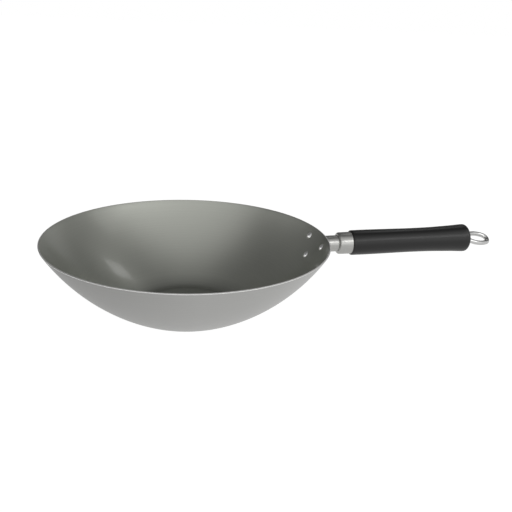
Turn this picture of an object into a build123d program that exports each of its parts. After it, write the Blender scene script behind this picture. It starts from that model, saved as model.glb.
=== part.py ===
from build123d import *
import math
import os

# Carbon steel wok: a flat-bottomed bowl with one long handle riveted to its wall.
# Frame: origin at the centre of the base's underside, +Z up, the handle along +X.
# Lengths are millimetres and angles are degrees.

# Bowl
RIM_RADIUS = 155.0  # outer edge of the rim
RIM_HEIGHT = 82.5  # outer edge of the rim above the base's underside
BASE_RADIUS = 60.0  # where the wall's arc would meet the underside
WALL_ARC_RADIUS = 206.0  # outer face of the wall, in section
SHEET = 1.6
BASE_BEND = 15.0  # inside radius where the base turns up into the wall
RIM_ROUND = 0.4  # on both corners of the cut edge

# Line of the handle
AXIS_BELOW_RIM = 12.6  # handle's axis below the rim, measured at the rim
HANDLE_RISE = 0.43  # degrees above level

# Handle bracket
PLATE = 2.2
PAD_RADIUS = 8.5  # plate round each rivet
PLATE_ROUND = 0.8
NECK_MARGIN = 3.0  # plate left above the neck, along the wall
NECK_RADIUS = 9.3
NECK_WALL = 2.0
NECK_BORE_DEPTH = 44.0
NECK_REACH = 49.6  # end of the neck, out from the rim
FAN_LENGTH = 33.0  # stretch over which the neck spreads and flattens towards the wall
FAN_END = 11.0  # where the neck is round again, out from the rim
FAN_SPREAD = 13.0  # extra half width at the root
FAN_SQUASH = 1.6  # half height lost at the root
FAN_DROP = 1.8  # the root's centre below the axis
ROOT_WELD = 1.2  # rounding where the fan meets the plate

# Rivets
RIVET_SPACING = 43.0  # between the two upper ones
UPPER_RIVET_RISE = 2.8  # above the axis at the rim
LOWER_RIVET_DROP = 12.8  # below the axis at the rim
SHANK_RADIUS = 2.4
HEAD_RADIUS = 4.2
HEAD_HEIGHT = 1.7
TAIL_RADIUS = 3.7
TAIL_HEIGHT = 1.9

# Ferrule
FERRULE_START = 17.4  # shoulder of the ferrule, out from the rim
FERRULE_LENGTH = 16.0
FERRULE_STEP = 3.2  # outside of the shoulder beyond the neck
FERRULE_FLARE = 0.15  # growth in radius towards the grip
FERRULE_SHEET = 1.0
FERRULE_ROUND = 2.6

# Grip
GRIP_LENGTH = 149.0  # from the front face to the end
FRONT_RADIUS = 14.35
WAIST_RADIUS = 14.05
SWELL_RADIUS = 16.35
FRONT_ROUND = 1.8
END_ROUND_LENGTH = 5.1  # the rounded end, along the axis
END_LAND_RADIUS = 7.1  # flat left in the middle of the end
SPIGOT_LENGTH = 14.6  # the part that goes into the ferrule
SPIGOT_LEAD = 1.5  # bevel that clears the ferrule's bend
# Along the grip, as shares of its length, and up from the waist to the swell, as shares of their difference
GRIP_SHARES = (
    (0.11, 0.17),
    (0.22, 0.14),
    (0.34, 0.07),
    (0.46, 0.0),
    (0.57, 0.03),
    (0.68, 0.15),
    (0.78, 0.40),
    (0.87, 0.65),
)

# Rod, plug and washer
ROD_RADIUS = 2.75
ROD_TIP_PAST_PLUG = 2.0
PLUG_LENGTH = 14.0
PLUG_INSET = 0.6  # plug's face inside the neck's end
WASHER_RADIUS = 6.1
WASHER_THICKNESS = 1.0
RECESS_DEPTH = 2.0  # in the grip's end

# Hanging loop, measured on the wire's centre line
LOOP_LENGTH = 28.6
LOOP_WIDTH = 14.9
LOOP_END_RADIUS = 6.0
LOOP_ROLL = 30.0  # turned about the handle's axis
LOOP_DROOP = 9.0  # bent down from the handle's axis

# Clearances, on the radius or between faces
RIVET_FIT = 0.05
FERRULE_FIT = 0.1
SOCKET_FIT = 0.12
PLUG_FIT = 0.03
THREAD_FIT = 0.05
ROD_CLEARANCE = 0.35
WASHER_CLEARANCE = 0.2
SEAT_GAP = 0.15
OVERRUN = 1.0  # how far a cutting body runs past what it cuts

# The wall's section is one arc. Its centre follows from the rim, the base and the arc's radius.
CHORD = math.hypot(RIM_RADIUS - BASE_RADIUS, RIM_HEIGHT)
CENTRE_TO_CHORD = math.sqrt(WALL_ARC_RADIUS**2 - (CHORD / 2) ** 2)
ARC_X = (RIM_RADIUS + BASE_RADIUS) / 2 - CENTRE_TO_CHORD * RIM_HEIGHT / CHORD
ARC_Z = RIM_HEIGHT / 2 + CENTRE_TO_CHORD * (RIM_RADIUS - BASE_RADIUS) / CHORD

# The handle's own frame: x runs out from the rim along the handle's axis.
AXIS_HEIGHT = RIM_HEIGHT - AXIS_BELOW_RIM
HANDLE = Location((RIM_RADIUS, 0, AXIS_HEIGHT), (0, -HANDLE_RISE, 0))

GRIP_START = FERRULE_START + FERRULE_LENGTH
GRIP_END = GRIP_START + GRIP_LENGTH
FERRULE_RADIUS = NECK_RADIUS + FERRULE_STEP


def wall_angle(height, offset=0):
    """Angle below level, from the arc's centre, at which a face set out by offset is at a height."""
    return math.asin((ARC_Z - height) / (WALL_ARC_RADIUS + offset))


def wall_point(angle, offset=0):
    """Section point (x, z) on the wall's outer face, or on a face set out from it by offset."""
    reach = WALL_ARC_RADIUS + offset
    return (ARC_X + reach * math.cos(angle), ARC_Z - reach * math.sin(angle))


def wall_arc(start, end, offset=0):
    middle = (start + end) / 2
    return ThreePointArc(wall_point(start, offset), wall_point(middle, offset), wall_point(end, offset))


def turned_about_z(outline):
    """Solid of revolution about Z from a closed outline drawn as (x, z)."""
    return revolve(Plane.XZ * make_face(outline), Axis.Z)


def turned_about_x(outline):
    """Solid of revolution about the handle's axis from a closed outline drawn as (x, radius)."""
    return revolve(make_face(outline), Axis.X)


def nearest_vertex(face, point):
    return face.vertices().sort_by_distance((point[0], point[1], 0))[0]


def bowl_sheet():
    """The pressed sheet: flat base, bend, curved wall and square-cut rim with rounded corners."""
    rim = wall_angle(RIM_HEIGHT)
    foot = wall_angle(0)
    foot_inside = wall_angle(SHEET, -SHEET)
    face = make_face(
        [
            Line((0, 0), wall_point(foot)),
            wall_arc(foot, rim),
            Line(wall_point(rim), wall_point(rim, -SHEET)),
            wall_arc(rim, foot_inside, -SHEET),
            Line(wall_point(foot_inside, -SHEET), (0, SHEET)),
            Line((0, SHEET), (0, 0)),
        ]
    )
    rim_round = min(RIM_ROUND, SHEET / 3)
    corners = (
        (wall_point(foot), BASE_BEND + SHEET),
        (wall_point(foot_inside, -SHEET), BASE_BEND),
        (wall_point(rim), rim_round),
        (wall_point(rim, -SHEET), rim_round),
    )
    for place, radius in corners:
        face = fillet(nearest_vertex(face, place), radius)
    return revolve(Plane.XZ * face, Axis.Z)


def wall_band(inner, outer):
    """Ring that follows the wall, between two offsets from its outer face."""
    rim = wall_angle(RIM_HEIGHT)
    foot = wall_angle(0)
    return turned_about_z(
        [
            wall_arc(foot, rim, outer),
            Line(wall_point(rim, outer), wall_point(rim, inner)),
            wall_arc(rim, foot, inner),
            Line(wall_point(foot, inner), wall_point(foot, outer)),
        ]
    )


def bowl_envelope():
    """Everything inside the wall's outer face, up to the rim."""
    rim = wall_angle(RIM_HEIGHT)
    foot = wall_angle(0)
    return turned_about_z(
        [
            Line((0, 0), wall_point(foot)),
            wall_arc(foot, rim),
            Line(wall_point(rim), (0, RIM_HEIGHT)),
            Line((0, RIM_HEIGHT), (0, 0)),
        ]
    )


def wall_plane(angle, azimuth=0):
    """Plane that touches the wall's outer face: local Z points out of the wall, local X runs round it."""
    radius, height = wall_point(angle)
    place = (radius * math.cos(azimuth), radius * math.sin(azimuth), height)
    level = math.cos(angle)
    out = (level * math.cos(azimuth), level * math.sin(azimuth), -math.sin(angle))
    return Plane(origin=place, x_dir=(-math.sin(azimuth), math.cos(azimuth), 0), z_dir=out)


UPPER_ANGLE = wall_angle(AXIS_HEIGHT + UPPER_RIVET_RISE)
LOWER_ANGLE = wall_angle(AXIS_HEIGHT - LOWER_RIVET_DROP)
UPPER_AZIMUTH = math.asin(RIVET_SPACING / 2 / wall_point(UPPER_ANGLE)[0])
RIVET_PLANES = [
    wall_plane(UPPER_ANGLE, UPPER_AZIMUTH),
    wall_plane(UPPER_ANGLE, -UPPER_AZIMUTH),
    wall_plane(LOWER_ANGLE),
]


def rivet_holes():
    depth = SHEET + PLATE + 2 * OVERRUN
    hole = Cylinder(SHANK_RADIUS + RIVET_FIT, depth)
    middle = Pos(0, 0, (PLATE - SHEET) / 2)
    return [plane.location * middle * hole for plane in RIVET_PLANES]


def button(radius, height):
    """Domed rivet head on the local XY plane, with its side carried down by one overrun."""
    ball = (radius**2 + height**2) / (2 * height)
    half_angle = math.asin(radius / ball) / 2
    crown = (ball * math.sin(half_angle), height - ball + ball * math.cos(half_angle))
    return turned_about_z(
        [
            Line((0, -OVERRUN), (0, height)),
            ThreePointArc((0, height), crown, (radius, 0)),
            Line((radius, 0), (radius, -OVERRUN)),
            Line((radius, -OVERRUN), (0, -OVERRUN)),
        ]
    )


def rivets():
    """Three solid rivets. Each head is formed against the surface that it closes on."""
    sheet_band = wall_band(-SHEET, 0)
    plate_band = wall_band(0, PLATE)
    head_place = Location((0, 0, -SHEET), (180, 0, 0))
    shank_length = SHEET + PLATE + HEAD_HEIGHT / 2 + TAIL_HEIGHT / 2
    shank_middle = (PLATE + TAIL_HEIGHT / 2 - SHEET - HEAD_HEIGHT / 2) / 2
    made = []
    for plane in RIVET_PLANES:
        head = plane.location * head_place * button(HEAD_RADIUS, HEAD_HEIGHT) - sheet_band
        tail = plane.location * Pos(0, 0, PLATE) * button(TAIL_RADIUS, TAIL_HEIGHT) - plate_band
        shank = plane.location * Pos(0, 0, shank_middle) * Cylinder(SHANK_RADIUS, shank_length)
        made.append((head + shank + tail).solid())
    return Compound(made)


def bracket_plate():
    """Plate that follows the wall: a pad round each rivet and a crown that clears the neck's top."""
    face_plane = wall_plane((UPPER_ANGLE + LOWER_ANGLE) / 2)
    left, right, lowest = (face_plane.to_local_coords(plane.origin) for plane in RIVET_PLANES)
    neck_top = face_plane.to_local_coords(wall_plane(wall_angle(AXIS_HEIGHT + NECK_RADIUS)).origin)
    crown = neck_top.Y + NECK_MARGIN - PAD_RADIUS
    corners = [(left.X, left.Y), (0, crown), (right.X, right.Y), (lowest.X, lowest.Y)]
    outline = offset(make_face(Polyline(corners, close=True)), PAD_RADIUS, kind=Kind.ARC)
    depth = 2 * (PLATE + PAD_RADIUS)
    prism = extrude(face_plane * outline, depth, both=True)
    plate = prism & wall_band(0, PLATE)
    outer_face = plate.faces().sort_by(SortBy.AREA)[-2:].sort_by(Axis.X)[-1]
    return fillet(outer_face.edges(), PLATE_ROUND)


def neck_fan():
    """The neck's root: round where it leaves the ferrule, wide and flat where it meets the wall."""
    sections = []
    steps = 4
    for step in range(steps + 1):
        along = step / steps
        fade = (1 - along) ** 2
        place = (FAN_END - FAN_LENGTH * (1 - along), 0, -FAN_DROP * fade)
        plane = Plane(origin=place, x_dir=(0, 1, 0), z_dir=(1, 0, 0))
        half_width = NECK_RADIUS + FAN_SPREAD * fade
        half_height = NECK_RADIUS - FAN_SQUASH * fade
        sections.append(plane * Ellipse(half_width, half_height))
    return loft(sections)


def along_axis(start, end, radius):
    """Cylinder on the handle's axis between two places."""
    return Location(((start + end) / 2, 0, 0), (0, 90, 0)) * Cylinder(radius, end - start)


def handle_bracket():
    """Plate, flattened root and hollow round neck, in one piece."""
    tube = along_axis(FAN_END, NECK_REACH, NECK_RADIUS)
    neck = HANDLE * (neck_fan() + tube) - bowl_envelope()
    plate = bracket_plate()
    body = plate + neck
    body = fillet(new_edges(plate, neck, combined=body), ROOT_WELD)
    bore = HANDLE * along_axis(NECK_REACH - NECK_BORE_DEPTH, NECK_REACH + OVERRUN, NECK_RADIUS - NECK_WALL)
    body = body - bore
    for hole in rivet_holes():
        body = body - hole
    return body.solid()


def bowl():
    body = bowl_sheet()
    for hole in rivet_holes():
        body = body - hole
    return body.solid()


def ferrule():
    """Pressed cup: a rounded shoulder round the neck, and a sleeve over the grip's spigot."""
    hole = NECK_RADIUS + FERRULE_FIT
    mouth = FERRULE_RADIUS + FERRULE_FLARE
    floor = FERRULE_START + FERRULE_SHEET
    face = make_face(
        Polyline(
            (FERRULE_START, hole),
            (FERRULE_START, FERRULE_RADIUS),
            (GRIP_START, mouth),
            (GRIP_START, mouth - FERRULE_SHEET),
            (floor, FERRULE_RADIUS - FERRULE_SHEET),
            (floor, hole),
            close=True,
        )
    )
    shoulder = min(FERRULE_ROUND, FERRULE_STEP - 2 * FERRULE_FIT)
    face = fillet(nearest_vertex(face, (FERRULE_START, FERRULE_RADIUS)), shoulder)
    inner_corner = (floor, FERRULE_RADIUS - FERRULE_SHEET)
    face = fillet(nearest_vertex(face, inner_corner), shoulder - FERRULE_SHEET)
    return HANDLE * revolve(face, Axis.X)


def grip():
    """Moulded grip: spigot, round front shoulder, long waist, swollen end, bored right through."""
    spigot = FERRULE_RADIUS - FERRULE_SHEET - FERRULE_FIT
    spigot_start = GRIP_START - SPIGOT_LENGTH
    bore = ROD_RADIUS + ROD_CLEARANCE
    socket = NECK_RADIUS + SOCKET_FIT
    recess = WASHER_RADIUS + WASHER_CLEARANCE
    recess_floor = GRIP_END - RECESS_DEPTH
    swell = GRIP_END - END_ROUND_LENGTH
    stations = [(GRIP_START + FRONT_ROUND, FRONT_RADIUS)]
    for along_share, rise_share in GRIP_SHARES:
        radius = WAIST_RADIUS + rise_share * (SWELL_RADIUS - WAIST_RADIUS)
        stations.append((GRIP_START + along_share * GRIP_LENGTH, radius))
    stations.append((swell, SWELL_RADIUS))
    quarter = math.sqrt(2) / 2
    front_middle = (
        GRIP_START + FRONT_ROUND * (1 - quarter),
        FRONT_RADIUS - FRONT_ROUND * (1 - quarter),
    )
    end_drop = SWELL_RADIUS - END_LAND_RADIUS
    body = turned_about_x(
        [
            Line((recess_floor, bore), (NECK_REACH, bore)),
            Line((NECK_REACH, bore), (NECK_REACH, socket)),
            Line((NECK_REACH, socket), (spigot_start, socket)),
            Line((spigot_start, socket), (spigot_start, spigot - SPIGOT_LEAD)),
            Line((spigot_start, spigot - SPIGOT_LEAD), (spigot_start + SPIGOT_LEAD, spigot)),
            Line((spigot_start + SPIGOT_LEAD, spigot), (GRIP_START, spigot)),
            Line((GRIP_START, spigot), (GRIP_START, FRONT_RADIUS - FRONT_ROUND)),
            ThreePointArc((GRIP_START, FRONT_RADIUS - FRONT_ROUND), front_middle, stations[0]),
            Spline(stations, tangents=((1, 0), (1, 0))),
            EllipticalCenterArc((swell, END_LAND_RADIUS), END_ROUND_LENGTH, end_drop),
            Line((GRIP_END, END_LAND_RADIUS), (GRIP_END, recess)),
            Line((GRIP_END, recess), (recess_floor, recess)),
            Line((recess_floor, recess), (recess_floor, bore)),
        ]
    )
    return HANDLE * body


def neck_plug():
    """Threaded plug pressed into the neck's end, which takes the rod."""
    face = NECK_REACH - PLUG_INSET
    body = along_axis(face - PLUG_LENGTH, face, NECK_RADIUS - NECK_WALL - PLUG_FIT)
    hole = along_axis(face - PLUG_LENGTH - OVERRUN, face + OVERRUN, ROD_RADIUS + THREAD_FIT)
    return HANDLE * (body - hole)


def end_washer():
    floor = GRIP_END - RECESS_DEPTH
    body = along_axis(floor, floor + WASHER_THICKNESS, WASHER_RADIUS)
    hole = along_axis(floor - OVERRUN, floor + WASHER_THICKNESS + OVERRUN, ROD_RADIUS + ROD_CLEARANCE)
    return HANDLE * (body - hole)


def loop_line():
    """Oval of four tangent arcs, from the loop's root at the origin out along local X."""
    half_length = LOOP_LENGTH / 2
    half_width = LOOP_WIDTH / 2
    end_centre = half_length - LOOP_END_RADIUS
    side_radius = (end_centre**2 + half_width**2 - LOOP_END_RADIUS**2) / (LOOP_WIDTH - 2 * LOOP_END_RADIUS)
    lean = math.atan2(side_radius - half_width, end_centre)
    join_x = end_centre + LOOP_END_RADIUS * math.cos(lean)
    join_y = LOOP_END_RADIUS * math.sin(lean)
    tip = half_length + half_length
    far = half_length + join_x
    near = half_length - join_x
    return Wire(
        [
            ThreePointArc((far, -join_y), (tip, 0), (far, join_y)),
            ThreePointArc((far, join_y), (half_length, half_width), (near, join_y)),
            ThreePointArc((near, join_y), (0, 0), (near, -join_y)),
            ThreePointArc((near, -join_y), (half_length, -half_width), (far, -join_y)),
        ]
    )


def loop_rod():
    """Long rod through the grip, closed at its outer end into an oval loop."""
    plug_back = NECK_REACH - PLUG_INSET - PLUG_LENGTH
    root = GRIP_END - RECESS_DEPTH + WASHER_THICKNESS + SEAT_GAP + ROD_RADIUS
    rod = along_axis(plug_back - ROD_TIP_PAST_PLUG, root, ROD_RADIUS)
    roll = math.radians(LOOP_ROLL)
    droop = math.radians(LOOP_DROOP)
    outward = (math.cos(droop), math.sin(droop) * math.sin(roll), -math.sin(droop) * math.cos(roll))
    across = Vector(0, math.cos(roll), math.sin(roll))
    loop_plane = Plane(origin=(root, 0, 0), x_dir=outward, z_dir=Vector(*outward).cross(across))
    line = loop_plane * loop_line()
    wire_end = Plane(origin=line @ 0, z_dir=line % 0) * Circle(ROD_RADIUS)
    return HANDLE * (rod + sweep(wire_end, path=line))


NODES = {
    "bowl": bowl,
    "handle_bracket": handle_bracket,
    "rivets": rivets,
    "neck_plug": neck_plug,
    "ferrule": ferrule,
    "grip": grip,
    "end_washer": end_washer,
    "loop_rod": loop_rod,
}

os.makedirs("parts", exist_ok=True)
for node, make in NODES.items():
    export_step(make(), f"parts/{node}.step")
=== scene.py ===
import math

import bmesh
import bpy
from bpy.props import FloatProperty, FloatVectorProperty, IntProperty, PointerProperty
from mathutils import Euler, Matrix, Vector


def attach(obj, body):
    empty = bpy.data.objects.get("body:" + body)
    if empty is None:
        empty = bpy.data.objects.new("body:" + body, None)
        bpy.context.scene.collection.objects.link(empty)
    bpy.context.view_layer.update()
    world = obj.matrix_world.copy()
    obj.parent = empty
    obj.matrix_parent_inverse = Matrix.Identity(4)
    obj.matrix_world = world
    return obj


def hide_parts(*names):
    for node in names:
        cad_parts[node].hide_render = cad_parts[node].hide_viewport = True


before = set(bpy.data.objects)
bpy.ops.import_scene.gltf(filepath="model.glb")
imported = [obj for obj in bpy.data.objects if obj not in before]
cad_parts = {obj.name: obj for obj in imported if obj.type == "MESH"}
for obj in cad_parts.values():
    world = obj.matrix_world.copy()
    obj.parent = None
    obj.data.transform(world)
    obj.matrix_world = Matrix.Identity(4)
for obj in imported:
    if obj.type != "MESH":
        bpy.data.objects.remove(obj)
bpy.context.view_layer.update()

bl_info = {
    "name": "Carbon steel wok",
    "version": (1, 0, 0),
    "blender": (4, 5, 0),
    "location": "3D View > Sidebar > Wok",
    "description": "Builds the wok's bowl, bracket, rivets, ferrule, grip and hanging ring, and a studio",
    "category": "Object",
}

MM = 0.001
BODY = "root"
TURNED_UV = "turned"  # u runs once round a turned piece, v is the distance along its outline in metres
SHARP_ANGLE = math.radians(32)  # a sharper edge stays an edge in the shading
MERGE_DISTANCE = 0.002 * MM  # points closer than this are one point


def linear(hex_colour):
    """Linear RGB from an sRGB hex colour."""
    channels = [int(hex_colour[i : i + 2], 16) / 255 for i in (0, 2, 4)]
    return [c / 12.92 if c <= 0.04045 else ((c + 0.055) / 1.055) ** 2.4 for c in channels]


def length(name, description, millimetres):
    """Length property with its default in millimetres."""
    return FloatProperty(
        name=name, description=description, default=millimetres * MM, unit="LENGTH", subtype="DISTANCE", precision=5
    )


def angle(name, description, degrees):
    """Angle property with its default in degrees."""
    return FloatProperty(
        name=name, description=description, default=math.radians(degrees), unit="ROTATION", subtype="ANGLE"
    )


def colour(name, description, hex_colour):
    """Colour property with its default as sRGB hex."""
    return FloatVectorProperty(
        name=name, description=description, default=linear(hex_colour), size=3, min=0, max=1, subtype="COLOR"
    )


class WokBowlSettings(bpy.types.PropertyGroup):
    """Sizes and steel of the bowl"""

    rim_radius: length("Rim radius", "Outer edge of the rim", 155.0)
    rim_height: length("Rim height", "Outer edge of the rim above the floor", 82.5)
    base_radius: length("Base radius", "Where the wall's arc would meet the floor", 60.0)
    wall_arc: length("Wall arc radius", "Outer face of the wall, in section", 206.0)
    sheet: length("Sheet", "Thickness of the steel", 1.6)
    bend: length("Base bend", "Inside radius where the base turns up", 15.0)
    rim_round: length("Rim round", "Rounding of the rim's two corners", 0.4)
    segments: IntProperty(name="Segments", description="Faces round the bowl", default=256, min=32, max=512)
    outside_colour: colour("Outside", "Ground steel outside", "bcbcba")
    inside_colour: colour("Inside", "Ground and oiled steel inside", "bcbeb6")
    edge_colour: colour("Rim edge", "Freshly cut steel of the rim", "f4f4f2")


class WokRivetSettings(bpy.types.PropertyGroup):
    """Sizes, places and metal of the rivets"""

    spacing: length("Upper spacing", "Between the two upper rivets", 43.0)
    upper_height: length("Upper height", "Upper rivets above the floor, on the wall's outer face", 72.7)
    lower_height: length("Lower height", "Lower rivet above the floor, on the wall's outer face", 57.1)
    head_radius: length("Head radius", "Domed head inside the bowl", 4.2)
    head_height: length("Head height", "Domed head inside the bowl", 1.7)
    tail_radius: length("Tail radius", "Formed head outside", 3.7)
    tail_height: length("Tail height", "Formed head outside", 1.9)
    plate: length("Plate", "Thickness of the bracket's plate", 2.2)
    sink: length("Sink", "How far a head's skirt runs into the sheet", 0.3)
    metal_colour: colour("Rivet metal", "Bright rivet", "f6f6f5")


class WokHandleSettings(bpy.types.PropertyGroup):
    """Sizes and finishes from the neck out to the hanging ring"""

    axis_drop: length("Axis below rim", "Handle's axis below the rim, at the rim", 12.6)
    rise: angle("Rise", "Slope of the handle's axis above level", 0.43)
    neck_radius: length("Neck radius", "Hollow steel neck", 9.3)
    ferrule_start: length("Ferrule start", "Shoulder of the ferrule, out from the rim", 17.4)
    ferrule_length: length("Ferrule length", "Along the axis", 16.0)
    ferrule_step: length("Ferrule step", "Outside of the ferrule beyond the neck", 3.2)
    ferrule_flare: length("Ferrule flare", "Growth in radius towards the grip", 0.15)
    ferrule_sheet: length("Ferrule sheet", "Thickness of the pressed steel", 1.0)
    ferrule_round: length("Ferrule round", "Rounding of the shoulder", 2.6)
    grip_length: length("Grip length", "From the front face to the end", 149.0)
    front_radius: length("Front radius", "Grip's radius at the ferrule", 14.35)
    waist_radius: length("Waist radius", "Smallest radius of the grip", 14.05)
    swell_radius: length("Swell radius", "Largest radius, near the end", 16.35)
    front_round: length("Front round", "Rounding of the grip's front edge", 1.8)
    end_round: length("End round", "Rounded end, along the axis", 5.1)
    end_land: length("End land", "Radius of the flat left on the end", 7.1)
    recess_radius: length("Recess radius", "Washer's recess in the end", 6.3)
    recess_depth: length("Recess depth", "Washer's recess in the end", 2.0)
    washer: length("Washer", "Thickness of the end washer", 1.0)
    fit: length("Fit", "Clearance between turned pieces", 0.1)
    wire_radius: length("Wire radius", "Rod and hanging ring", 2.75)
    ring_length: length("Ring length", "On the wire's centre line", 28.6)
    ring_width: length("Ring width", "On the wire's centre line", 14.9)
    ring_end: length("Ring end radius", "On the wire's centre line", 6.0)
    ring_gap: length("Ring gap", "Between the ring's root and the washer", 0.15)
    ring_roll: angle("Ring roll", "Turn about the handle's axis", 30.0)
    ring_droop: angle("Ring droop", "Bend down from the handle's axis", 9.0)
    steel_colour: colour("Neck and ferrule", "Matt plated steel", "bcbcb9")
    grip_colour: colour("Grip", "Black phenolic", "040404")
    chrome_colour: colour("Ring", "Chrome plate", "d3d3d2")
    zinc_colour: colour("Washer and plug", "Zinc plate", "b4b5ae")


class WokStudioSettings(bpy.types.PropertyGroup):
    """Camera, floor and lights"""

    lens: FloatProperty(
        name="Lens", description="Focal length on a 36 mm sensor", default=46.69, subtype="DISTANCE_CAMERA"
    )
    camera_x: length("Camera X", "Camera's place", -96.66)
    camera_y: length("Camera Y", "Camera's place", -678.83)
    camera_z: length("Camera Z", "Camera's place", 312.12)
    camera_turn: angle("Turn", "Camera's heading, clockwise from +Y", 14.386)
    camera_tilt: angle("Tilt", "Camera's tilt above level", -19.903)
    camera_roll: angle("Roll", "Camera's roll, anticlockwise", 2.653)
    floor_size: FloatProperty(name="Floor", description="Side of the floor", default=40.0, unit="LENGTH")
    floor_colour: colour("Floor", "Pale paper sweep", "f4f4f2")
    room: FloatProperty(name="Room", description="Strength of the room's soft light", default=1.0, min=0)
    front_turn: angle("Front turn", "Soft light's heading, from -Y towards +X", -8.0)
    front_height: angle("Front height", "Soft light's height above level", 35.0)
    strip_box: FloatProperty(
        name="Strip box", description="Low strip in front, on the right", default=2.4, unit="POWER"
    )
    side_box: FloatProperty(name="Side box", description="Soft box at the handle's side", default=1.18, unit="POWER")
    rim_box: FloatProperty(name="Rim box", description="Small box behind, on the right", default=0.28, unit="POWER")


def settings_of(context):
    """The scene's bowl, rivet, handle and studio settings."""
    scene = context.scene
    return scene.wok_bowl, scene.wok_rivets, scene.wok_handle, scene.wok_studio


# Meshes


def keep_mesh(name, mesh, slots, node):
    """Links a finished mesh to the scene as a piece that stands for a CAD node."""
    mesh.shade_smooth()
    mesh.set_sharp_from_angle(angle=SHARP_ANGLE)
    piece = bpy.data.objects.new(name, mesh)
    bpy.context.scene.collection.objects.link(piece)
    for material in slots:
        mesh.materials.append(material)
    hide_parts(node)
    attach(piece, BODY)
    return piece


def lathe(name, outline, place, segments, slot_of=None):
    """Mesh of revolution about local Z from a closed outline of (radius, height) points.

    Points on the axis become poles. slot_of gives each stretch of the outline its material slot.
    """
    mesh = bmesh.new()
    uv = mesh.loops.layers.uv.new(TURNED_UV)
    count = len(outline)
    along = [0.0]
    for start, end in zip(outline, outline[1:] + outline[:1]):
        along.append(along[-1] + math.dist(start, end))
    rings = []
    for radius, height in outline:
        if radius < MERGE_DISTANCE:
            rings.append([mesh.verts.new(place @ Vector((0, 0, height)))])
            continue
        turns = (math.tau * step / segments for step in range(segments))
        rings.append(
            [mesh.verts.new(place @ Vector((radius * math.cos(t), radius * math.sin(t), height))) for t in turns]
        )
    for index in range(count):
        near, far = rings[index], rings[(index + 1) % count]
        if len(near) == 1 and len(far) == 1:
            continue
        for step in range(segments):
            after = (step + 1) % segments
            corners = [(near, step, index), (near, after, index), (far, after, index + 1), (far, step, index + 1)]
            if len(near) == 1:
                corners.pop(1)
            elif len(far) == 1:
                corners.pop(2)
            face = mesh.faces.new([ring[turn % len(ring)] for ring, turn, _ in corners])
            face.material_index = slot_of(index) if slot_of else 0
            for loop, (_, turn, row) in zip(face.loops, corners):
                wrapped = segments if turn == 0 and step == segments - 1 else turn
                loop[uv].uv = (wrapped / segments, along[row])
    bmesh.ops.recalc_face_normals(mesh, faces=mesh.faces)
    made = bpy.data.meshes.new(name)
    mesh.to_mesh(made)
    mesh.free()
    return made


def arc(centre, radius, start, end, steps):
    """Points on an arc, ends included. Angles are in radians, anticlockwise from the first axis."""
    angles = (start + (end - start) * step / steps for step in range(steps + 1))
    return [(centre[0] + radius * math.cos(a), centre[1] + radius * math.sin(a)) for a in angles]


def smooth_line(stations, steps):
    """Catmull-Rom line through (x, y) stations, flat at both ends."""
    points = [stations[0]]
    slopes = [0.0]
    for before, after in zip(stations, stations[2:]):
        slopes.append((after[1] - before[1]) / (after[0] - before[0]))
    slopes.append(0.0)
    for index in range(len(stations) - 1):
        (x0, y0), (x1, y1) = stations[index], stations[index + 1]
        width = x1 - x0
        for step in range(1, steps + 1):
            t = step / steps
            rise = (
                (2 * t**3 - 3 * t**2 + 1) * y0
                + (t**3 - 2 * t**2 + t) * width * slopes[index]
                + (3 * t**2 - 2 * t**3) * y1
                + (t**3 - t**2) * width * slopes[index + 1]
            )
            points.append((x0 + t * width, rise))
    return points


def merged_copy(name, node):
    """Copy of a CAD node's mesh with its loose triangles joined, so that it shades smoothly."""
    mesh = bmesh.new()
    mesh.from_mesh(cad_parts[node].data)
    bmesh.ops.remove_doubles(mesh, verts=mesh.verts, dist=MERGE_DISTANCE)
    made = bpy.data.meshes.new(name)
    mesh.to_mesh(made)
    mesh.free()
    return made


class WallArc:
    """The bowl's section: one arc for the wall, with the bend into the base on a circle inside it."""

    def __init__(self, bowl):
        reach = bowl.rim_radius - bowl.base_radius
        chord = math.hypot(reach, bowl.rim_height)
        away = math.sqrt(bowl.wall_arc**2 - (chord / 2) ** 2)
        self.x = (bowl.rim_radius + bowl.base_radius) / 2 - away * bowl.rim_height / chord
        self.z = bowl.rim_height / 2 + away * reach / chord
        self.radius = bowl.wall_arc
        self.rim = -math.asin((self.z - bowl.rim_height) / self.radius)
        self.bend_radius = bowl.bend + bowl.sheet
        inner = self.radius - self.bend_radius
        self.bend_x = self.x + math.sqrt(inner**2 - (self.z - self.bend_radius) ** 2)
        self.foot = -math.asin((self.z - self.bend_radius) / inner)

    def point(self, turn, offset=0.0):
        """(radius, height) on the outer face at a turn about the arc's centre, moved outwards by offset."""
        reach = self.radius + offset
        return (self.x + reach * math.cos(turn), self.z + reach * math.sin(turn))

    def turn_at(self, height):
        """Turn about the arc's centre at which the outer face has that height."""
        return -math.asin((self.z - height) / self.radius)


def handle_place(bowl, handle):
    """Frame of the handle: local Z runs out along its axis, from the plane of the rim's outermost point."""
    at_rim = Matrix.Translation((bowl.rim_radius, 0, bowl.rim_height - handle.axis_drop))
    slope = Matrix.Rotation(-handle.rise, 4, "Y")
    out = Matrix.Rotation(math.pi / 2, 4, "Y")
    return at_rim @ slope @ out


# Materials

LINE_TONES = (0.93, 1.07)  # darkest and lightest grinding line, as shares of the steel's colour
POLISH_SPREAD = 0.03  # how far the roughness of ground steel wanders to each side
GRAIN_POLISH = (0.85, 1.15)  # lowest and highest roughness in a plated metal's grain, as shares of its own
OIL_IOR = 1.48
PHENOLIC_IOR = 1.55
WHITE = (1, 1, 1, 1)


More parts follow.
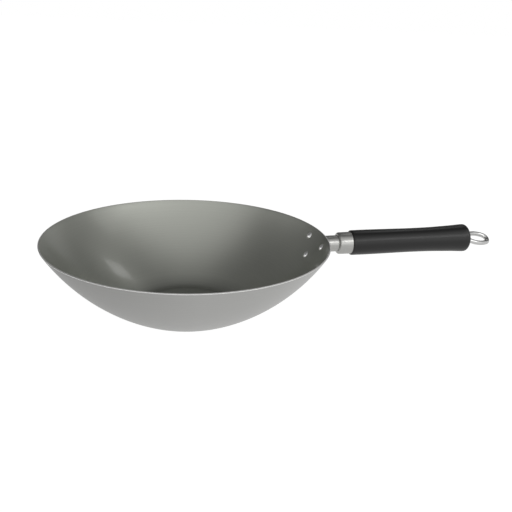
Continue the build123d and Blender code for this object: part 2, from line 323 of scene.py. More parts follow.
def add_node(tree, kind, inputs=None, **settings):
    """Adds one node. Inputs are values or the sockets that they are linked from, by name or number."""
    node = tree.nodes.new(kind)
    for key, value in settings.items():
        setattr(node, key, value)
    for key, value in (inputs or {}).items():
        if isinstance(value, bpy.types.NodeSocket):
            tree.links.new(value, node.inputs[key])
        else:
            node.inputs[key].default_value = value
    return node


def new_tree(name):
    """New material and its empty node tree."""
    material = bpy.data.materials.new(name)
    material.use_nodes = True
    material.node_tree.nodes.clear()
    return material, material.node_tree


def grey_stops(ramp, stops):
    """Sets a colour ramp node to grey (place, level) stops, given in order."""
    elements = ramp.color_ramp.elements
    elements.remove(elements[1])
    for index, (place, level) in enumerate(stops):
        stop = elements.new(place) if index else elements[0]
        stop.position = place
        stop.color = (level, level, level, 1)


def shades(base, spread):
    """Darker and lighter colour, a share of spread to each side of the base."""
    return [(*(min(1, c * share) for c in base), 1) for share in (1 - spread, 1 + spread)]


def ground_steel(name, base, roughness, spread, lines_mm, cloud_mm, anisotropy, oil, painted_shade=None):
    """Sheet steel ground on a lathe: fine rings round the axis, with faint clouds where the oil lies.

    The eye gets a soft streak across the rings, and a tone that shifts a little from place to place.
    Real grinding lines are about 0.1 mm apart. They are drawn wider, because a pixel covers 1 mm.
    Optional stops of (distance from the axis in mm, level) are painted shade: they darken the flat and, most of all,
    its bend.
    """
    material, tree = new_tree(name)
    turned = add_node(tree, "ShaderNodeUVMap", uv_map=TURNED_UV)
    across = add_node(tree, "ShaderNodeSeparateXYZ", {0: turned.outputs["UV"]})
    rings = add_node(
        tree,
        "ShaderNodeTexNoise",
        {"W": across.outputs["Y"], "Scale": 1 / (lines_mm * MM), "Detail": 3.0, "Roughness": 0.7},
        noise_dimensions="1D",
    )
    spot = add_node(tree, "ShaderNodeTexCoord").outputs["Object"]
    clouds = add_node(
        tree,
        "ShaderNodeTexNoise",
        {"Vector": spot, "Scale": 1 / (cloud_mm * MM), "Detail": 4.0, "Roughness": 0.55},
    )
    dark, light = shades(base, spread)
    clouded = add_node(
        tree, "ShaderNodeMix", {"Factor": clouds.outputs["Fac"], "A": dark, "B": light}, data_type="RGBA"
    )
    lined = add_node(
        tree, "ShaderNodeMapRange", {"Value": rings.outputs["Fac"], "To Min": LINE_TONES[0], "To Max": LINE_TONES[1]}
    )
    level = lined.outputs["Result"]
    # Painted shade: darkens the steel by its distance from the axis
    if painted_shade:
        reach = painted_shade[-1][0]
        flat = add_node(tree, "ShaderNodeVectorMath", {0: spot, 1: (1, 1, 0)}, operation="MULTIPLY")
        distance = add_node(tree, "ShaderNodeVectorMath", {0: flat.outputs["Vector"]}, operation="LENGTH")
        share = add_node(tree, "ShaderNodeMath", {0: distance.outputs["Value"], 1: reach * MM}, operation="DIVIDE")
        shade_ramp = add_node(tree, "ShaderNodeValToRGB", {"Fac": share.outputs[0]})
        grey_stops(shade_ramp, [(place / reach, left) for place, left in painted_shade])
        level = add_node(
            tree, "ShaderNodeMath", {0: level, 1: shade_ramp.outputs["Color"]}, operation="MULTIPLY"
        ).outputs[0]
    shaded = add_node(tree, "ShaderNodeVectorMath", {0: clouded.outputs["Result"], "Scale": level}, operation="SCALE")
    polish = add_node(
        tree,
        "ShaderNodeMapRange",
        {
            "Value": clouds.outputs["Fac"],
            "To Min": roughness - POLISH_SPREAD,
            "To Max": roughness + POLISH_SPREAD,
        },
    )
    height = add_node(
        tree,
        "ShaderNodeBump",
        {"Height": rings.outputs["Fac"], "Strength": 0.12, "Distance": 0.02 * MM},
    )
    tangent = add_node(tree, "ShaderNodeTangent", direction_type="UV_MAP", uv_map=TURNED_UV)
    surface = add_node(
        tree,
        "ShaderNodeBsdfPrincipled",
        {
            "Base Color": shaded.outputs["Vector"],
            "Metallic": 1.0,
            "Roughness": polish.outputs["Result"],
            "Anisotropic": anisotropy,
            "Anisotropic Rotation": 0.25,  # a quarter turn, so that the streak lies across the rings
            "Coat Weight": oil,
            "Coat Roughness": 0.12,
            "Coat IOR": OIL_IOR,
            "Normal": height.outputs["Normal"],
            "Tangent": tangent.outputs["Tangent"],
        },
    )
    add_node(tree, "ShaderNodeOutputMaterial", {"Surface": surface.outputs["BSDF"]})
    return material


def plain_metal(name, base, roughness, grain_mm, spread, depth_mm):
    """Plated or polished metal: an even tone with a grain that breaks up its highlights."""
    material, tree = new_tree(name)
    spot = add_node(tree, "ShaderNodeTexCoord")
    grain = add_node(
        tree,
        "ShaderNodeTexNoise",
        {"Vector": spot.outputs["Object"], "Scale": 1 / (grain_mm * MM), "Detail": 4.0, "Roughness": 0.6},
    )
    dark, light = shades(base, spread)
    tone = add_node(
        tree, "ShaderNodeMix", {"Factor": grain.outputs["Fac"], "A": dark, "B": light}, data_type="RGBA"
    )
    polish = add_node(
        tree,
        "ShaderNodeMapRange",
        {
            "Value": grain.outputs["Fac"],
            "To Min": roughness * GRAIN_POLISH[0],
            "To Max": roughness * GRAIN_POLISH[1],
        },
    )
    height = add_node(
        tree,
        "ShaderNodeBump",
        {"Height": grain.outputs["Fac"], "Strength": 0.3, "Distance": depth_mm * MM},
    )
    surface = add_node(
        tree,
        "ShaderNodeBsdfPrincipled",
        {
            "Base Color": tone.outputs["Result"],
            "Metallic": 1.0,
            "Roughness": polish.outputs["Result"],
            "Normal": height.outputs["Normal"],
        },
    )
    add_node(tree, "ShaderNodeOutputMaterial", {"Surface": surface.outputs["BSDF"]})
    return material


def moulded_phenolic(name, base, flow_mm, skin_mm, roughness):
    """Phenolic out of a steel mould, with a fine matt skin.

    The eye gets a black that is never quite even, with a broad soft highlight along the top.
    flow_mm is the size of the cloudy patches that the flow in the mould leaves, skin_mm that of the skin's grain,
    and roughness the lowest and highest roughness of the patches.
    """
    material, tree = new_tree(name)
    spot = add_node(tree, "ShaderNodeTexCoord").outputs["Object"]
    flow = add_node(tree, "ShaderNodeTexNoise", {"Vector": spot, "Scale": 1 / (flow_mm * MM), "Detail": 3.0})
    skin = add_node(tree, "ShaderNodeTexNoise", {"Vector": spot, "Scale": 1 / (skin_mm * MM), "Detail": 2.0})
    height = add_node(
        tree,
        "ShaderNodeBump",
        {"Height": skin.outputs["Fac"], "Strength": 0.15, "Distance": 0.03 * MM},
    )
    lighter = [c * 1.5 for c in base]
    tone = add_node(
        tree,
        "ShaderNodeMix",
        {"Factor": flow.outputs["Fac"], "A": (*base, 1), "B": (*lighter, 1)},
        data_type="RGBA",
    )
    polish = add_node(
        tree,
        "ShaderNodeMapRange",
        {"Value": flow.outputs["Fac"], "To Min": roughness[0], "To Max": roughness[1]},
    )
    surface = add_node(
        tree,
        "ShaderNodeBsdfPrincipled",
        {
            "Base Color": tone.outputs["Result"],
            "Roughness": polish.outputs["Result"],
            "IOR": PHENOLIC_IOR,
            "Normal": height.outputs["Normal"],
        },
    )
    add_node(tree, "ShaderNodeOutputMaterial", {"Surface": surface.outputs["BSDF"]})
    return material


# Operators


class WOK_OT_press_bowl(bpy.types.Operator):
    """Press the bowl: flat base, bend, curved wall and square-cut rim, ground inside and out"""

    bl_idname = "wok.press_bowl"
    bl_label = "Press bowl"

    WALL_STEPS = 40
    BEND_STEPS = 10
    ROUND_STEPS = 4
    BASE_RINGS = 3
    OUTSIDE, INSIDE, EDGE = range(3)  # material slots
    GRIND = {"spread": 0.03, "lines_mm": 1.4, "cloud_mm": 70}  # the same on both faces
    # Painted shade inside: distance from the axis in mm, and the share of the steel's own tone left there, darker on
    # the flat and darkest in the bend where the base turns up
    BASE_PAINTED_SHADE = ((0, 0.6), (48, 0.6), (54, 0.42), (60, 0.62), (68, 0.85), (78, 1.0))

    def outline(self, bowl):
        """Outline points (radius, height) from the middle of the underside round to the middle inside.

        Also gives the stretches of the outline that are the cut edge.
        """
        wall = WallArc(bowl)
        bend = (wall.bend_x, wall.bend_radius)
        down = -math.pi / 2
        flat = [wall.bend_x * ring / self.BASE_RINGS for ring in range(self.BASE_RINGS)]
        under = [(radius, 0.0) for radius in flat]
        under += arc(bend, wall.bend_radius, down, wall.foot, self.BEND_STEPS)
        middle, stop = (wall.x, wall.z), self.rim_turn(bowl, wall)
        under += arc(middle, wall.radius, wall.foot, stop, self.WALL_STEPS)[1:]
        inside = arc(middle, wall.radius - bowl.sheet, stop, wall.foot, self.WALL_STEPS)
        inside += arc(bend, bowl.bend, wall.foot, down, self.BEND_STEPS)[1:]
        inside += [(radius, bowl.sheet) for radius in reversed(flat)]
        rim = self.rim_points(bowl, wall)
        edge = range(len(under) - 1, len(under) + len(rim) - 1)
        return under + rim + inside, edge

    def rim_turn(self, bowl, wall):
        """Where the wall stops short of the rim for the rounding."""
        return wall.rim - bowl.rim_round / wall.radius

    def rim_points(self, bowl, wall):
        """The two rounded corners of the cut edge, without their ends."""
        points = []
        quarter = math.pi / 2
        outer, inner = (-bowl.rim_round, 0, quarter), (bowl.rim_round - bowl.sheet, quarter, math.pi)
        for offset, start, end in (outer, inner):
            centre = wall.point(self.rim_turn(bowl, wall), offset)
            points += arc(centre, bowl.rim_round, wall.rim + start, wall.rim + end, self.ROUND_STEPS)
        return points[1:-1]

    def execute(self, context):
        bowl, _, _, _ = settings_of(context)
        outline, edge = self.outline(bowl)

        def slot_of(index):
            if index in edge:
                return self.EDGE
            return self.OUTSIDE if index < edge.start else self.INSIDE

        mesh = lathe("bowl_shell", outline, Matrix.Identity(4), bowl.segments, slot_of)
        outside = ground_steel(
            "ground_steel_outside", bowl.outside_colour, roughness=0.36, anisotropy=0.45, oil=0.2, **self.GRIND
        )
        # Oiled more heavily than the outside, with a second, sharper highlight from the oil, and painted shade that
        # darkens the flat and its bend.
        inside = ground_steel(
            "ground_steel_inside",
            bowl.inside_colour,
            roughness=0.42,
            anisotropy=0.3,
            oil=0.7,
            painted_shade=self.BASE_PAINTED_SHADE,
            **self.GRIND,
        )
        # Bare cut steel, filed smooth: a pale line round the rim.
        cut = plain_metal("cut_steel_edge", bowl.edge_colour, roughness=0.5, grain_mm=1.5, spread=0.05, depth_mm=0.02)
        piece = keep_mesh("bowl_shell", mesh, [outside, inside, cut], "bowl")
        return {"FINISHED"}


class WOK_OT_forge_bracket(bpy.types.Operator):
    """Take the bracket's shape from the CAD node and plate it matt"""

    bl_idname = "wok.forge_bracket"
    bl_label = "Forge bracket"

    def execute(self, context):
        _, _, handle, _ = settings_of(context)
        # Blasted and plated steel: a soft, slightly mottled grey with no clear reflections.
        plated = plain_metal(
            "matt_plated_steel", handle.steel_colour, roughness=0.3, grain_mm=2.2, spread=0.12, depth_mm=0.35
        )
        mesh = merged_copy("bracket_forging", "handle_bracket")
        piece = keep_mesh("bracket_forging", mesh, [plated], "handle_bracket")
        return {"FINISHED"}


class WOK_OT_set_rivets(bpy.types.Operator):
    """Set three rivets through the bowl and the bracket, with a domed head inside and a formed head outside"""

    bl_idname = "wok.set_rivets"
    bl_label = "Set rivets"

    ROUND_POINTS = 40
    DOME_POINTS = 10

    def places(self, bowl, rivets):
        """(place on the wall's outer face, direction out of the wall) for each rivet."""
        wall = WallArc(bowl)
        upper, lower = wall.turn_at(rivets.upper_height), wall.turn_at(rivets.lower_height)
        side = math.asin(rivets.spacing / 2 / wall.point(upper)[0])
        for turn, azimuth in ((upper, side), (upper, -side), (lower, 0.0)):
            radius, height = wall.point(turn)
            place = (radius * math.cos(azimuth), radius * math.sin(azimuth), height)
            level = math.cos(turn)
            yield place, (level * math.cos(azimuth), level * math.sin(azimuth), math.sin(turn))

    def seeds(self, bowl, rivets):
        """Mesh with one loose point per rivet, which carries the direction out of the wall."""
        mesh = bpy.data.meshes.new("rivet_places")
        places = list(self.places(bowl, rivets))
        mesh.from_pydata([place for place, _ in places], [], [])
        out = mesh.attributes.new("out", "FLOAT_VECTOR", "POINT")
        out.data.foreach_set("vector", [value for _, direction in places for value in direction])
        return mesh

    def dome(self, tree, radius, height, sink):
        """Closed button: a dome of that radius and height on local Z, with its side run down by sink.

        Curve to Mesh lays the section's Y along the circle's -Z, so heights are negative in the section.
        """
        middle = add_node(tree, "ShaderNodeMath", {0: radius, 1: -1.0}, operation="MULTIPLY").outputs[0]
        top = add_node(tree, "ShaderNodeMath", {0: height, 1: -1.0}, operation="MULTIPLY").outputs[0]
        crown = add_node(tree, "ShaderNodeCombineXYZ", {"X": middle, "Y": top})
        # The two tangents of a circular dome cross at half of (height squared / radius - radius)
        square = add_node(tree, "ShaderNodeMath", {0: height, 1: height}, operation="MULTIPLY")
        shared = add_node(tree, "ShaderNodeMath", {0: square.outputs[0], 1: radius}, operation="DIVIDE")
        inset = add_node(tree, "ShaderNodeMath", {0: shared.outputs[0], 1: radius}, operation="SUBTRACT")
        shoulder_x = add_node(tree, "ShaderNodeMath", {0: inset.outputs[0], 1: 0.5}, operation="MULTIPLY")
        shoulder = add_node(tree, "ShaderNodeCombineXYZ", {"X": shoulder_x.outputs[0], "Y": top})
        dome = add_node(
            tree,
            "GeometryNodeCurveQuadraticBezier",
            {
                "Resolution": self.DOME_POINTS,
                "Start": crown.outputs[0],
                "Middle": shoulder.outputs[0],
                "End": (0, 0, 0),
            },
        )
        foot = add_node(tree, "ShaderNodeCombineXYZ", {"Y": sink})
        skirt = add_node(tree, "GeometryNodeCurvePrimitiveLine", {"Start": (0, 0, 0), "End": foot.outputs[0]})
        back = add_node(tree, "ShaderNodeCombineXYZ", {"X": middle, "Y": sink})
        floor = add_node(tree, "GeometryNodeCurvePrimitiveLine", {"Start": foot.outputs[0], "End": back.outputs[0]})
        section = add_node(tree, "GeometryNodeJoinGeometry")
        for part in (floor.outputs["Curve"], skirt.outputs["Curve"], dome.outputs["Curve"]):
            tree.links.new(part, section.inputs[0])
        circle = add_node(
            tree, "GeometryNodeCurvePrimitiveCircle", {"Resolution": self.ROUND_POINTS, "Radius": radius}
        )
        turned = add_node(
            tree,
            "GeometryNodeCurveToMesh",
            {"Curve": circle.outputs["Curve"], "Profile Curve": section.outputs[0]},
        )
        joined = add_node(
            tree, "GeometryNodeMergeByDistance", {"Geometry": turned.outputs["Mesh"], "Distance": MERGE_DISTANCE}
        )
        return joined.outputs["Geometry"]

    def row(self, tree, points, direction, shape, offset, flip):
        """One button on every point, moved along the direction by offset and turned to face away from the wall."""
        facing = add_node(tree, "ShaderNodeVectorMath", {0: direction, "Scale": flip}, operation="SCALE")
        turn = add_node(
            tree, "FunctionNodeAlignRotationToVector", {"Vector": facing.outputs["Vector"]}, axis="Z"
        )
        shift = add_node(tree, "ShaderNodeVectorMath", {0: direction, "Scale": offset}, operation="SCALE")
        moved = add_node(
            tree, "GeometryNodeSetPosition", {"Geometry": points, "Offset": shift.outputs["Vector"]}
        )
        return add_node(
            tree,
            "GeometryNodeInstanceOnPoints",
            {"Points": moved.outputs["Geometry"], "Instance": shape, "Rotation": turn.outputs["Rotation"]},
        ).outputs["Instances"]

    def tree(self, material):
        """Geometry Nodes tree that sets a head and a tail on every point, with named inputs for their sizes."""
        tree = bpy.data.node_groups.new("rivet_setter", "GeometryNodeTree")
        tree.interface.new_socket("Geometry", in_out="INPUT", socket_type="NodeSocketGeometry")
        for name in ("Head radius", "Head height", "Tail radius", "Tail height", "Sheet", "Plate", "Sink"):
            tree.interface.new_socket(name, in_out="INPUT", socket_type="NodeSocketFloat")
        tree.interface.new_socket("Geometry", in_out="OUTPUT", socket_type="NodeSocketGeometry")
        given = add_node(tree, "NodeGroupInput").outputs
        direction = add_node(
            tree, "GeometryNodeInputNamedAttribute", {"Name": "out"}, data_type="FLOAT_VECTOR"
        ).outputs["Attribute"]
        head = self.dome(tree, given["Head radius"], given["Head height"], given["Sink"])
        tail = self.dome(tree, given["Tail radius"], given["Tail height"], given["Sink"])
        inward = add_node(tree, "ShaderNodeMath", {0: given["Sheet"], 1: -1.0}, operation="MULTIPLY").outputs[0]
        heads = self.row(tree, given["Geometry"], direction, head, inward, -1.0)
        tails = self.row(tree, given["Geometry"], direction, tail, given["Plate"], 1.0)
        both = add_node(tree, "GeometryNodeJoinGeometry")
        for part in (heads, tails):
            tree.links.new(part, both.inputs[0])
        real = add_node(tree, "GeometryNodeRealizeInstances", {"Geometry": both.outputs[0]})
        painted = add_node(
            tree, "GeometryNodeSetMaterial", {"Geometry": real.outputs["Geometry"], "Material": material}
        )
        add_node(tree, "NodeGroupOutput", {0: painted.outputs["Geometry"]})
        return tree

    def execute(self, context):
        bowl, rivets, _, _ = settings_of(context)
        # Bright steel rivets, burnished where the setting tool has pressed them: small clear highlights.
        bright = plain_metal(
            "burnished_steel_rivet", rivets.metal_colour, roughness=0.34, grain_mm=2.5, spread=0.04, depth_mm=0.05
        )
        seeds = bpy.data.objects.new("rivet_seeds", self.seeds(bowl, rivets))
        context.scene.collection.objects.link(seeds)
        modifier = seeds.modifiers.new("setter", "NODES")
        modifier.node_group = self.tree(bright)
        sizes = {
            "Head radius": rivets.head_radius,
            "Head height": rivets.head_height,
            "Tail radius": rivets.tail_radius,
            "Tail height": rivets.tail_height,
            "Sheet": bowl.sheet,
            "Plate": rivets.plate,
            "Sink": rivets.sink,
        }
        for item in modifier.node_group.interface.items_tree:
            if item.name in sizes:
                modifier[item.identifier] = sizes[item.name]
        shown = seeds.evaluated_get(context.evaluated_depsgraph_get())
        mesh = bpy.data.meshes.new_from_object(shown)
        bpy.data.objects.remove(seeds)
        closed = bmesh.new()
        closed.from_mesh(mesh)
        bmesh.ops.recalc_face_normals(closed, faces=closed.faces)
        closed.to_mesh(mesh)
        closed.free()
        mesh.materials.clear()
        piece = keep_mesh("rivet_set", mesh, [bright], "rivets")
        return {"FINISHED"}


class WOK_OT_press_ferrule(bpy.types.Operator):
    """Press the ferrule: a rounded shoulder round the neck and a sleeve up to the grip"""

    bl_idname = "wok.press_ferrule"
    bl_label = "Press ferrule"

    ROUND_STEPS = 10
    SEGMENTS = 96

    def execute(self, context):
        bowl, _, handle, _ = settings_of(context)
        hole = handle.neck_radius + handle.fit
        outer = handle.neck_radius + handle.ferrule_step
        mouth = outer + handle.ferrule_flare
        start, end = handle.ferrule_start, handle.ferrule_start + handle.ferrule_length
        bend, sheet = handle.ferrule_round, handle.ferrule_sheet
        centre = (outer - bend, start + bend)
        outline = [(hole, start)]
        outline += arc(centre, bend, -math.pi / 2, 0, self.ROUND_STEPS)
        outline += [(mouth, end), (mouth - sheet, end)]
        outline += arc(centre, bend - sheet, 0, -math.pi / 2, self.ROUND_STEPS)
        outline += [(hole, start + sheet)]
        # Drawn from the same plated sheet as the bracket, but smoother: the press irons its surface.
        plated = plain_metal(
            "ironed_plated_steel", handle.steel_colour, roughness=0.3, grain_mm=2.6, spread=0.1, depth_mm=0.3
        )
        mesh = lathe("ferrule_cup", outline, handle_place(bowl, handle), self.SEGMENTS)
        piece = keep_mesh("ferrule_cup", mesh, [plated], "ferrule")
        return {"FINISHED"}


class WOK_OT_mould_grip(bpy.types.Operator):
    """Mould the grip: round front edge, long waist, swollen end and a recess for the washer"""

    bl_idname = "wok.mould_grip"
    bl_label = "Mould grip"

    # Along the grip, as shares of its length, and up from the waist to the swell, as shares of the difference
    SHARES = (
        (0.11, 0.17),
        (0.22, 0.14),
        (0.34, 0.07),
        (0.46, 0.0),
        (0.57, 0.03),
        (0.68, 0.15),
        (0.78, 0.40),
        (0.87, 0.65),
    )
    SIDE_STEPS = 5
    ROUND_STEPS = 10
    SEGMENTS = 128

    def outline(self, handle):
        """Outline points (radius, height) from the bore's inner end round to its outer end."""
        start = handle.ferrule_start + handle.ferrule_length
        end = start + handle.grip_length
        spigot = handle.neck_radius + handle.ferrule_step - handle.ferrule_sheet - handle.fit
        inner_end = handle.ferrule_start + handle.ferrule_round
        swell = end - handle.end_round
        stations = [(start + handle.front_round, handle.front_radius)]
        for along, rise in self.SHARES:
            radius = handle.waist_radius + rise * (handle.swell_radius - handle.waist_radius)
            stations.append((start + along * handle.grip_length, radius))
        stations.append((swell, handle.swell_radius))
        side = [(radius, height) for height, radius in smooth_line(stations, self.SIDE_STEPS)]
        front_centre = (handle.front_radius - handle.front_round, start + handle.front_round)
        front = arc(front_centre, handle.front_round, -math.pi / 2, 0, self.ROUND_STEPS)
        drop = handle.swell_radius - handle.end_land
        turns = [math.pi / 2 * step / self.ROUND_STEPS for step in range(1, self.ROUND_STEPS + 1)]
        rounded = [(handle.end_land + drop * math.cos(t), swell + handle.end_round * math.sin(t)) for t in turns]
        recess = [(handle.recess_radius, end), (handle.recess_radius, end - handle.recess_depth)]
        bore = handle.wire_radius + handle.fit
        return (
            [(bore, inner_end), (spigot, inner_end), (spigot, start)]
            + front
            + side[1:]
            + rounded
            + recess
            + [(bore, end - handle.recess_depth)]
        )

    def execute(self, context):
        bowl, _, handle, _ = settings_of(context)
        black = moulded_phenolic(
            "black_phenolic", handle.grip_colour, flow_mm=9, skin_mm=0.6, roughness=(0.31, 0.38)
        )
        mesh = lathe("grip_moulding", self.outline(handle), handle_place(bowl, handle), self.SEGMENTS)
        piece = keep_mesh("grip_moulding", mesh, [black], "grip")
        return {"FINISHED"}


class WOK_OT_bend_ring(bpy.types.Operator):
    """Bend the rod's end into the oval hanging ring"""

    bl_idname = "wok.bend_ring"
    bl_label = "Bend hanging ring"

    END_STEPS = 24
    SIDE_STEPS = 16
    WIRE_SEGMENTS = 28
    ROD_START = 33.0 * MM  # inner end of the rod, out from the rim
    ROD_SEGMENTS = 28

    def line(self, handle):
        """Oval centre line in its own plane, from its root at the origin out along x: tangent arcs."""
        half, width, end = handle.ring_length / 2, handle.ring_width / 2, handle.ring_end
        middle = half - end
        side = (middle**2 + width**2 - end**2) / (2 * (width - end))
        lean = math.atan2(side - width, middle)
        tip = arc((half + middle, 0), end, -lean, lean, self.END_STEPS)
        top = arc((half, width - side), side, lean, math.pi - lean, self.SIDE_STEPS)
        root = arc((half - middle, 0), end, math.pi - lean, math.pi + lean, self.END_STEPS)
        low = arc((half, side - width), side, math.pi + lean, math.tau - lean, self.SIDE_STEPS)
        return tip[:-1] + top[:-1] + root[:-1] + low[:-1]

    def sweep(self, mesh, line, facing, place, radius):
        """Adds a round wire along a closed flat line, whose plane lies across facing."""
        uv = mesh.loops.layers.uv.active
        count = len(line)
        turns = [math.tau * step / self.WIRE_SEGMENTS for step in range(self.WIRE_SEGMENTS)]
        rings = []
        for index, point in enumerate(line):
            ahead = (line[(index + 1) % count] - line[index - 1]).normalized()
            side = facing.cross(ahead).normalized()
            around = (point + radius * (side * math.cos(t) + facing * math.sin(t)) for t in turns)
            rings.append([mesh.verts.new(place @ spot) for spot in around])
        for index in range(count):
            near, far = rings[index], rings[(index + 1) % count]
            for step in range(self.WIRE_SEGMENTS):
                after = (step + 1) % self.WIRE_SEGMENTS
                face = mesh.faces.new((near[step], near[after], far[after], far[step]))
                for loop in face.loops:
                    loop[uv].uv = (step / self.WIRE_SEGMENTS, index / count)

    def execute(self, context):
        bowl, _, handle, _ = settings_of(context)
        place = handle_place(bowl, handle)
        grip_end = handle.ferrule_start + handle.ferrule_length + handle.grip_length
        radius = handle.wire_radius
        root = grip_end - handle.recess_depth + handle.washer + handle.ring_gap + radius
        outline = [(0, self.ROD_START), (radius, self.ROD_START), (radius, root), (0, root)]
        rod = lathe("hanging_ring", outline, place, self.ROD_SEGMENTS)
        # In the handle's frame, local Z runs outwards, Y across and -X up.
        roll, droop = handle.ring_roll, handle.ring_droop
        across = Vector((-math.sin(roll), math.cos(roll), 0))
        side_on = Vector((math.cos(roll), math.sin(roll), 0))
        outward = Vector((0, 0, math.cos(droop))) + side_on * math.sin(droop)
        line = [Vector((0, 0, root)) + outward * x + across * y for x, y in self.line(handle)]
        mesh = bmesh.new()
        mesh.from_mesh(rod)
        self.sweep(mesh, line, outward.cross(across), place, radius)
        bmesh.ops.recalc_face_normals(mesh, faces=mesh.faces)
        mesh.to_mesh(rod)
        mesh.free()
        # Chrome plate over drawn wire: dark and light bands, with a faint waviness from the bending.
        chrome = plain_metal(
            "chrome_plated_wire", handle.chrome_colour, roughness=0.08, grain_mm=6.0, spread=0.02, depth_mm=0.05
        )
        piece = keep_mesh("hanging_ring", rod, [chrome], "loop_rod")
        return {"FINISHED"}


class WOK_OT_plate_fixings(bpy.types.Operator):
    """Give the plug in the neck and the washer in the grip's end their zinc plate"""

    bl_idname = "wok.plate_fixings"
    bl_label = "Plate fixings"

    def execute(self, context):
        _, _, handle, _ = settings_of(context)
        # Zinc plate: pale, a little yellow, with a crystalline unevenness.
        zinc = plain_metal("zinc_plate", handle.zinc_colour, roughness=0.35, grain_mm=0.9, spread=0.1, depth_mm=0.03)
        for node in ("neck_plug", "end_washer"):
            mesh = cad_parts[node].data
            mesh.materials.clear()
            mesh.materials.append(zinc)
        return {"FINISHED"}


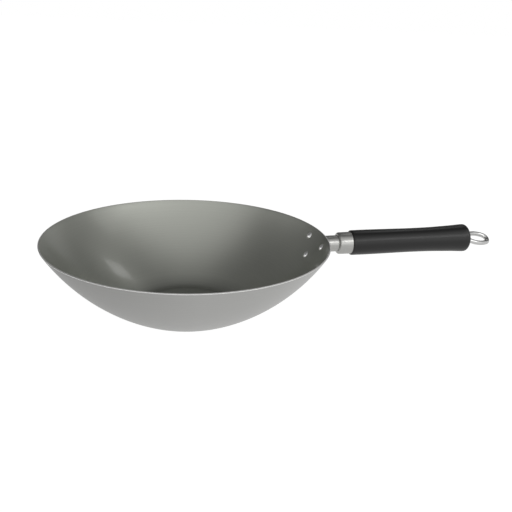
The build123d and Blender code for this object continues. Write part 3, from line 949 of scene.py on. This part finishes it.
class WOK_OT_light_studio(bpy.types.Operator):
    """Lay the pale floor, hang the soft boxes and set the camera"""

    bl_idname = "wok.light_studio"
    bl_label = "Light studio"

    FLOOR_GLOW = 0.94  # the floor's own white, where it is seen directly or in a reflection
    SHADOW = 0.25  # share of the lit paper that is added to it, which a shadow takes away
    # Level of the room against the cosine of the angle from the soft light's middle
    ROOM = ((0.1, 0.14), (0.45, 0.14), (0.7, 0.56), (0.88, 0.68), (1.0, 0.78))
    # Share of that level which is left near the floor, behind the lamps, against the sine of the height above level
    DIM = ((0.08, 0.0), (0.3, 1.0))
    # Panels that stand round the floor: their level by heading, from -Y past -X, +Y and +X, and their top as a sine
    PANELS = ((0.0, 1.1), (0.13, 1.7), (0.26, 2.3), (0.32, 1.3), (0.36, 0.1), (0.5, 0.0), (0.75, 0.8), (1.0, 1.1))
    PANEL_TOP = ((0.2, 1.0), (0.36, 0.0))
    # Painted light and shade on the floor as reflections see it, along X in metres: greyer than the white the camera
    # sees, as painted shade from the wok, and lighter towards its lamp at the handle's side
    FLOOR_PAINTED_LIGHT = ((-0.2, 0.41), (0.0, 0.63), (0.2, 0.66))
    # Place, width and height of each soft box. The strip in front draws the band along the grip.
    BOXES = {
        "strip_box": ((0.8, -1.1, 0.9), 1.2, 0.24),
        "side_box": ((1.1, -0.3, 0.8), 0.8, 0.8),
        "rim_box": ((0.75, 0.65, 1.0), 0.2, 0.2),
    }
    AIM = Vector((0.03, 0, 0.05))  # the point that the soft boxes face

    def seen_directly(self, tree):
        """1 for camera, glossy and transmission rays, which see the floor's own white in place of the paper."""
        path = add_node(tree, "ShaderNodeLightPath").outputs
        either = add_node(
            tree, "ShaderNodeMath", {0: path["Is Camera Ray"], 1: path["Is Glossy Ray"]}, operation="MAXIMUM"
        )
        return add_node(
            tree, "ShaderNodeMath", {0: either.outputs[0], 1: path["Is Transmission Ray"]}, operation="MAXIMUM"
        ).outputs[0]

    def floor(self, context, studio):
        """Matt white paper. The camera gets an even white that keeps faint shadows, reflections a greyer tone of
        painted light and shade.
        """
        half = studio.floor_size / 2
        mesh = bpy.data.meshes.new("floor")
        mesh.from_pydata([(-half, -half, 0), (half, -half, 0), (half, half, 0), (-half, half, 0)], [], [(0, 1, 2, 3)])
        floor = bpy.data.objects.new("floor", mesh)
        context.scene.collection.objects.link(floor)
        material, tree = new_tree("paper_sweep")
        paper = add_node(tree, "ShaderNodeBsdfDiffuse", {"Color": (*studio.floor_colour, 1)})
        spot = add_node(tree, "ShaderNodeTexCoord").outputs["Object"]
        across = add_node(tree, "ShaderNodeSeparateXYZ", {0: spot}).outputs["X"]
        (first, _), *_, (last, _) = self.FLOOR_PAINTED_LIGHT
        place = add_node(tree, "ShaderNodeMapRange", {"Value": across, "From Min": first, "From Max": last})
        stops = [((x - first) / (last - first), level) for x, level in self.FLOOR_PAINTED_LIGHT]
        # Painted light and shade along X, seen only in reflections
        tone = add_node(tree, "ShaderNodeValToRGB", {"Fac": place.outputs["Result"]})
        grey_stops(tone, stops)
        path = add_node(tree, "ShaderNodeLightPath").outputs
        seen = add_node(
            tree,
            "ShaderNodeMix",
            {"A": tone.outputs["Color"], "B": WHITE, "Factor": path["Is Camera Ray"]},
            data_type="RGBA",
        )
        white = add_node(tree, "ShaderNodeEmission", {"Color": seen.outputs["Result"], "Strength": self.FLOOR_GLOW})
        dimmed = [c * self.SHADOW for c in studio.floor_colour]
        faint = add_node(tree, "ShaderNodeBsdfDiffuse", {"Color": (*dimmed, 1)})
        lit = add_node(tree, "ShaderNodeAddShader", {0: white.outputs["Emission"], 1: faint.outputs["BSDF"]})
        both = add_node(
            tree,
            "ShaderNodeMixShader",
            {0: self.seen_directly(tree), 1: paper.outputs["BSDF"], 2: lit.outputs["Shader"]},
        )
        add_node(tree, "ShaderNodeOutputMaterial", {"Surface": both.outputs["Shader"]})
        mesh.materials.append(material)

    def world(self, context, studio):
        """Room that lights the wok: a wide soft light high in front, panels round the floor, dark elsewhere.

        The camera sees plain white behind the wok.
        """
        world = bpy.data.worlds.new("studio_room")
        context.scene.world = world
        world.use_nodes = True
        tree = world.node_tree
        tree.nodes.clear()
        direction = add_node(tree, "ShaderNodeTexCoord").outputs["Generated"]
        front = add_node(
            tree, "ShaderNodeVectorMath", {0: direction, 1: self.towards(studio)}, operation="DOT_PRODUCT"
        )
        parts = add_node(tree, "ShaderNodeSeparateXYZ", {0: direction}).outputs
        heading = add_node(tree, "ShaderNodeMath", {0: parts["X"], 1: parts["Y"]}, operation="ARCTAN2")
        turn = add_node(
            tree, "ShaderNodeMapRange", {"Value": heading.outputs[0], "From Min": -math.pi, "From Max": math.pi}
        )
        levels = []
        for amount, stops in (
            (front.outputs["Value"], self.ROOM),
            (parts["Z"], self.DIM),
            (turn.outputs["Result"], self.PANELS),
            (parts["Z"], self.PANEL_TOP),
        ):
            ramp = add_node(tree, "ShaderNodeValToRGB", {"Fac": amount})
            grey_stops(ramp, stops)
            levels.append(ramp.outputs["Color"])
        room, dim, panels, top = levels
        raised = add_node(tree, "ShaderNodeVectorMath", {0: room, 1: dim}, operation="MULTIPLY")
        standing = add_node(tree, "ShaderNodeVectorMath", {0: panels, 1: top}, operation="MULTIPLY")
        both = add_node(tree, "ShaderNodeVectorMath", {0: raised.outputs["Vector"], 1: standing.outputs["Vector"]})
        around = add_node(tree, "ShaderNodeBackground", {"Color": both.outputs["Vector"], "Strength": studio.room})
        behind = add_node(tree, "ShaderNodeBackground", {"Color": WHITE, "Strength": 1.0})
        path = add_node(tree, "ShaderNodeLightPath").outputs
        seen = add_node(
            tree,
            "ShaderNodeMixShader",
            {0: path["Is Camera Ray"], 1: around.outputs[0], 2: behind.outputs[0]},
        )
        add_node(tree, "ShaderNodeOutputWorld", {"Surface": seen.outputs["Shader"]})

    def towards(self, studio):
        """Unit vector from the wok to the middle of the soft light."""
        level = math.cos(studio.front_height)
        across, ahead = math.sin(studio.front_turn), math.cos(studio.front_turn)
        return (level * across, -level * ahead, math.sin(studio.front_height))

    def soft_box(self, context, name, place, width, height, power):
        """Area lamp that faces the wok."""
        light = bpy.data.lights.new(name, "AREA")
        light.shape = "RECTANGLE"
        light.size = width
        light.size_y = height
        light.energy = power
        lamp = bpy.data.objects.new(name, light)
        lamp.location = place
        lamp.rotation_euler = (self.AIM - Vector(place)).to_track_quat("-Z", "Y").to_euler()
        context.scene.collection.objects.link(lamp)

    def camera(self, context, studio):
        """Camera at the photograph's viewing angle."""
        data = bpy.data.cameras.new("photo_camera")
        data.lens = studio.lens
        camera = bpy.data.objects.new("photo_camera", data)
        camera.location = (studio.camera_x, studio.camera_y, studio.camera_z)
        level = Euler((math.pi / 2 + studio.camera_tilt, 0, -studio.camera_turn)).to_matrix()
        camera.rotation_euler = (level @ Matrix.Rotation(studio.camera_roll, 3, "Z")).to_euler()
        context.scene.collection.objects.link(camera)
        context.scene.camera = camera

    def execute(self, context):
        _, _, _, studio = settings_of(context)
        self.floor(context, studio)
        self.world(context, studio)
        for name, (place, width, height) in self.BOXES.items():
            self.soft_box(context, name, place, width, height, getattr(studio, name))
        self.camera(context, studio)
        context.scene.view_settings.view_transform = "Standard"
        return {"FINISHED"}


class WOK_PT_panel(bpy.types.Panel):
    """Lists the steps that build the wok"""

    bl_idname = "WOK_PT_panel"
    bl_label = "Wok"
    bl_space_type = "VIEW_3D"
    bl_region_type = "UI"
    bl_category = "Wok"

    def draw(self, context):
        for step in STEPS:
            self.layout.operator(step.bl_idname)
        for group in settings_of(context):
            box = self.layout.box()
            for name in group.__annotations__:
                box.prop(group, name)


STEPS = (
    WOK_OT_press_bowl,
    WOK_OT_forge_bracket,
    WOK_OT_set_rivets,
    WOK_OT_press_ferrule,
    WOK_OT_mould_grip,
    WOK_OT_bend_ring,
    WOK_OT_plate_fixings,
    WOK_OT_light_studio,
)
GROUPS = {
    "wok_bowl": WokBowlSettings,
    "wok_rivets": WokRivetSettings,
    "wok_handle": WokHandleSettings,
    "wok_studio": WokStudioSettings,
}
CLASSES = (*GROUPS.values(), *STEPS, WOK_PT_panel)


def register():
    for item in CLASSES:
        bpy.utils.register_class(item)
    for name, group in GROUPS.items():
        setattr(bpy.types.Scene, name, PointerProperty(type=group))


def unregister():
    for name in GROUPS:
        delattr(bpy.types.Scene, name)
    for item in reversed(CLASSES):
        bpy.utils.unregister_class(item)


def main():
    register()
    for step in STEPS:
        family, name = step.bl_idname.split(".")
        getattr(getattr(bpy.ops, family), name)()


if __name__ == "__main__":
    main()
